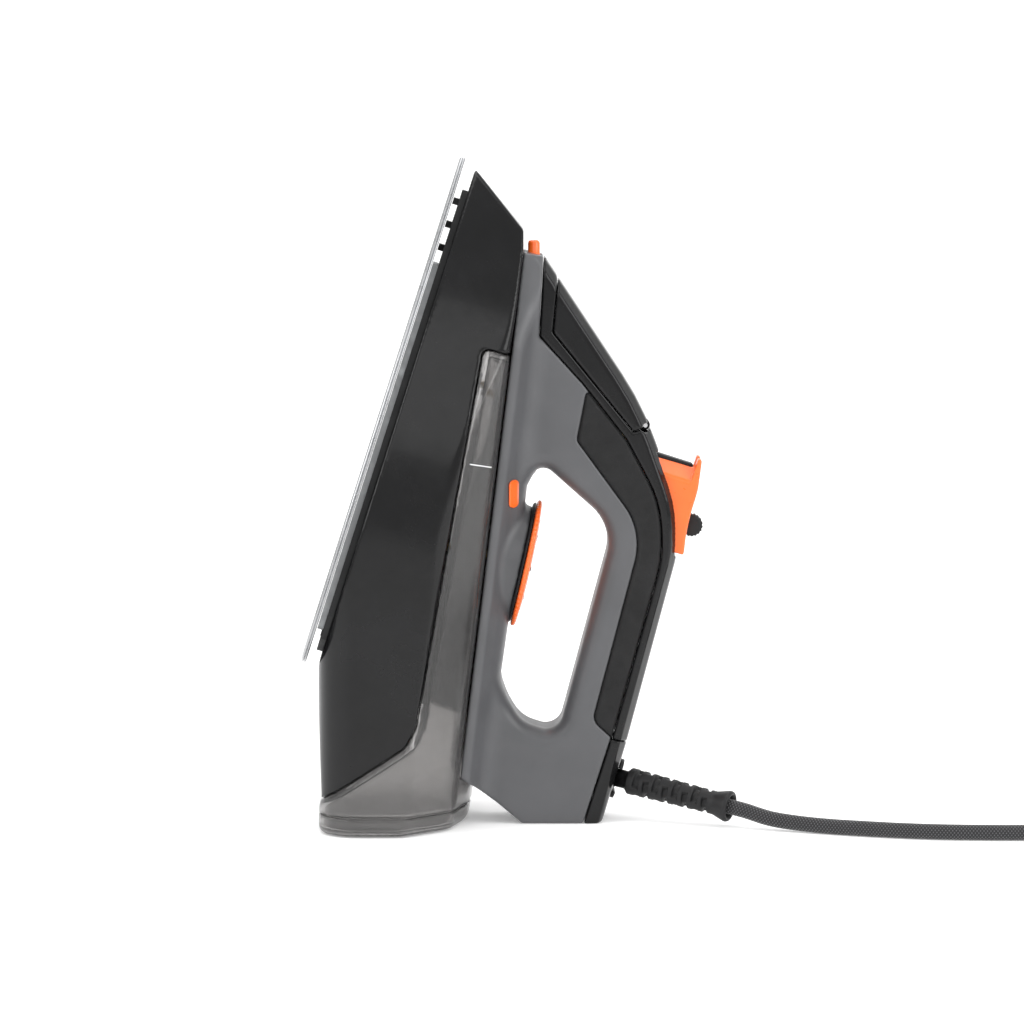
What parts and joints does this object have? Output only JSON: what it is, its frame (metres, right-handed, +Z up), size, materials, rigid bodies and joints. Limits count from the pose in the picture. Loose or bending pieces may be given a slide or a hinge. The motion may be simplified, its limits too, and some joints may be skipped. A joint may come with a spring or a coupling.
{
  "type": "steam iron",
  "caption": "Steam iron standing on its heel, with a smoked tank, orange dial and buttons, an open handle and a textile lead wound into a coil.",
  "frame": {"origin": "middle of the heel's foot, on the surface that the iron stands on", "axes": "+Z up along the standing iron, +X from the sole to the handle's back, +Y to the iron's right hand side"},
  "size_m": [0.434, 0.1536, 0.3046],
  "materials": {
    "sole_metal": "satin",
    "cast_metal": "as cast",
    "bright_steel": "polished",
    "brass": "satin",
    "black_gloss": "gloss",
    "black_satin": "satin",
    "grey_shell": "satin",
    "orange_plastic": "gloss",
    "smoked_clear": "clear, smoked",
    "soft_grip": "fine grain",
    "ceramic": "matt",
    "braided_textile": "braided"
  },
  "bodies": {
    "iron": {"soleplate": "sole_metal", "steam_casting": "cast_metal", "heating_element": "bright_steel", "steam_chamber_cover": "cast_metal", "thermostat": "ceramic", "thermal_fuse": "ceramic", "heat_shield": "black_satin", "shield_screw_1": "bright_steel", "shield_screw_2": "bright_steel", "shield_screw_3": "bright_steel", "body_shell": "black_gloss", "tank_shell": "smoked_clear", "heel_cap": "smoked_clear", "handle_shell": "grey_shell", "grip_left": "soft_grip", "grip_right": "soft_grip", "top_cover": "black_gloss", "rear_cover": "black_gloss", "button_tray": "black_satin", "spray_button_spring": "bright_steel", "spray_pump": "ceramic", "steam_button_spring": "bright_steel", "steam_pump": "ceramic", "water_valve": "black_satin", "scale_filter": "black_satin", "filler_neck": "black_satin", "spray_nozzle": "orange_plastic", "spray_hose": "smoked_clear", "lid_hinge_pin": "bright_steel", "dial_bezel": "black_satin", "self_clean_spring": "bright_steel", "pilot_lens": "smoked_clear", "swivel_socket": "black_satin", "terminal_block": "ceramic", "cord_clamp": "black_satin", "rear_screw_1": "bright_steel", "rear_screw_2": "bright_steel", "power_cord": "braided_textile", "cord_coil": "braided_textile", "cord_tie": "soft_grip", "cord_tail": "braided_textile", "plug_pin_1": "bright_steel", "plug_pin_2": "bright_steel", "plug_body": "black_satin"},
    "lid": {"filler_lid": "black_gloss", "lid_seal": "soft_grip"},
    "dial": {"thermostat_dial": "orange_plastic", "dial_shaft": "brass"},
    "spray_key": {"spray_button": "orange_plastic"},
    "steam_key": {"steam_button": "orange_plastic"},
    "slider": {"steam_slider": "black_satin"},
    "needle": {"needle_rod": "brass"},
    "clean_key": {"self_clean_button": "orange_plastic"},
    "swivel": {"strain_relief": "black_satin"}
  },
  "joints": [
    {"name": "lid_hinge", "type": "hinge", "parent": "iron", "child": "lid", "pos_m": [0.11457, 0, 0.18269], "axis": [0, 1, 0], "range_deg": [0, 75]},
    {"name": "dial_turn", "type": "hinge", "parent": "iron", "child": "dial", "pos_m": [0.0591, 0, 0.11873], "axis": [0.9755, 0, -0.2198], "range_deg": [0, 270]},
    {"name": "spray_press", "type": "slide", "parent": "iron", "child": "spray_key", "axis": [-0.9527, 0, 0.304], "range_m": [0, 0.004], "stiffness_N_per_m": 600, "springref_m": -0.004, "deforming": ["spray_button_spring"]},
    {"name": "steam_press", "type": "slide", "parent": "iron", "child": "steam_key", "axis": [-0.9527, 0, 0.304], "range_m": [0, 0.004], "stiffness_N_per_m": 600, "springref_m": -0.004, "deforming": ["steam_button_spring"]},
    {"name": "steam_set", "type": "slide", "parent": "iron", "child": "slider", "axis": [0.1285, 0, 0.9917], "range_m": [0, 0.01]},
    {"name": "needle_lift", "type": "slide", "parent": "iron", "child": "needle", "axis": [0.9527, 0, -0.304], "range_m": [0, 0.003]},
    {"name": "self_clean_press", "type": "slide", "parent": "iron", "child": "clean_key", "axis": [0, 1, 0], "range_m": [0, 0.002], "stiffness_N_per_m": 500, "springref_m": -0.002, "deforming": ["self_clean_spring"]},
    {"name": "cord_swivel", "type": "hinge", "parent": "iron", "child": "swivel", "pos_m": [0.09673, 0, 0.02022], "axis": [0.304, 0, 0.9527], "range_deg": [-8, 54], "deforming": ["power_cord"]}
  ],
  "couplings": [
    {"joint": "needle_lift", "follows": "steam_set", "ratio": 0.3}
  ]
}
